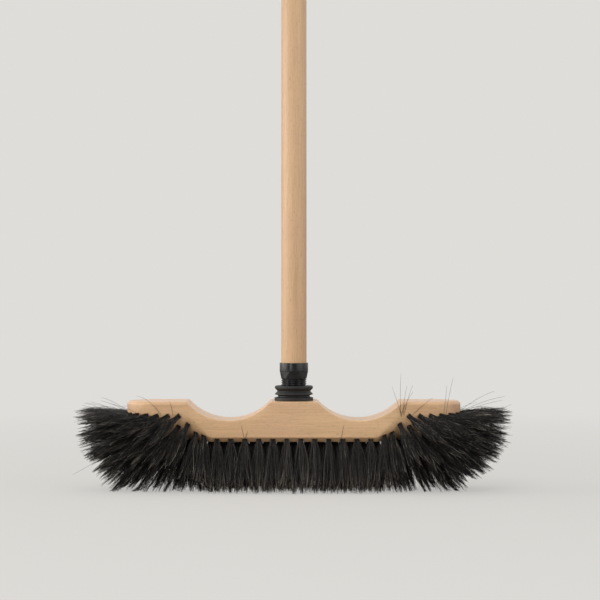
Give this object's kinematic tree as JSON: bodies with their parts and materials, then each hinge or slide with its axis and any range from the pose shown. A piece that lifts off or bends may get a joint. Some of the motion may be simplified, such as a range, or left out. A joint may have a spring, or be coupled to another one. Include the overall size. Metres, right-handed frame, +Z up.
{
  "type": "push broom",
  "caption": "Long-handled push broom: wooden head with a boss and round ends, black hair tufts that fan out at the ends, and a round stick that screws into a ribbed plastic socket.",
  "frame": {"origin": "on the floor under the middle of the head, where the tips of the middle tufts stand", "axes": "+Z up along the stick, +X along the head, the front of the head faces -Y"},
  "size_m": [0.4126, 0.1116, 1.4],
  "materials": {
    "beech": "smooth, bare, with fine flecks",
    "black_plastic": "moulded, satin",
    "horsehair": "black hair",
    "zinc_steel": "zinc plated"
  },
  "bodies": {
    "head": {"head_block": "beech", "socket": "black_plastic", "centre_row_1": "horsehair", "centre_row_2": "horsehair", "centre_row_3": "horsehair", "centre_row_4": "horsehair", "centre_row_5": "horsehair", "centre_row_6": "horsehair", "left_ring_1": "horsehair", "left_ring_2": "horsehair", "left_ring_3": "horsehair", "left_ring_4": "horsehair", "right_ring_1": "horsehair", "right_ring_2": "horsehair", "right_ring_3": "horsehair", "right_ring_4": "horsehair", "centre_anchors": "zinc_steel", "left_anchors": "zinc_steel", "right_anchors": "zinc_steel"},
    "screw": {"ferrule_screw": "zinc_steel"},
    "handle": {"stick": "beech", "ferrule": "black_plastic"}
  },
  "joints": [
    {"name": "handle_rise", "type": "slide", "parent": "head", "child": "screw", "axis": [0, 0, 1], "range_m": [0, 0.02]},
    {"name": "handle_turn", "type": "hinge", "parent": "screw", "child": "handle", "pos_m": [0, 0, 0.1], "axis": [0, 0, 1], "range_deg": [0, 3600]}
  ],
  "couplings": [
    {"joint": "handle_rise", "follows": "handle_turn", "m_per_rad": 0.0003183}
  ]
}
